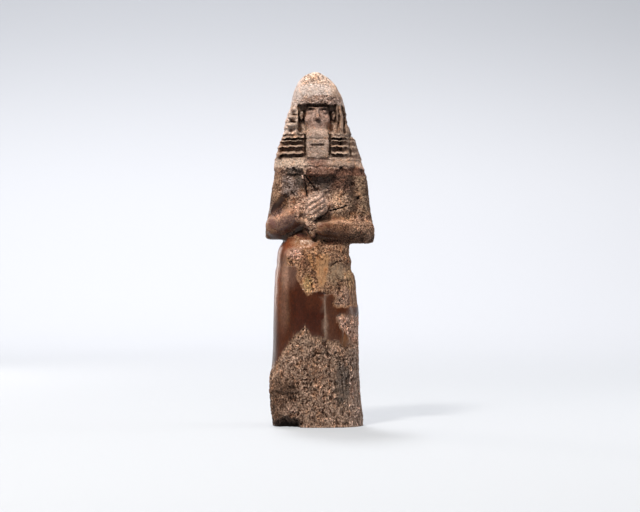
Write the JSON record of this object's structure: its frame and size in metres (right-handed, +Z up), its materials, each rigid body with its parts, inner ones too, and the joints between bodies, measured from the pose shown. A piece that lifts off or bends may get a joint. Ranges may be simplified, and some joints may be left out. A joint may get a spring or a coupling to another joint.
{
  "type": "warrior statuette",
  "caption": "Carved ivory statuette of a standing bearded man in a pointed cap, with tiered hair, crossed forearms and a long plain robe, worn and pitted.",
  "frame": {"origin": "middle of the bounding box at the flat underside that the figure stands on", "axes": "+Z up along the standing figure, front towards -Y, the figure's left hand towards +X"},
  "size_m": [0.0606, 0.0434, 0.197],
  "materials": {
    "ivory": "stained and worn ivory, part polished and part pitted"
  },
  "bodies": {
    "root": {"figure": "ivory"}
  },
  "joints": []
}
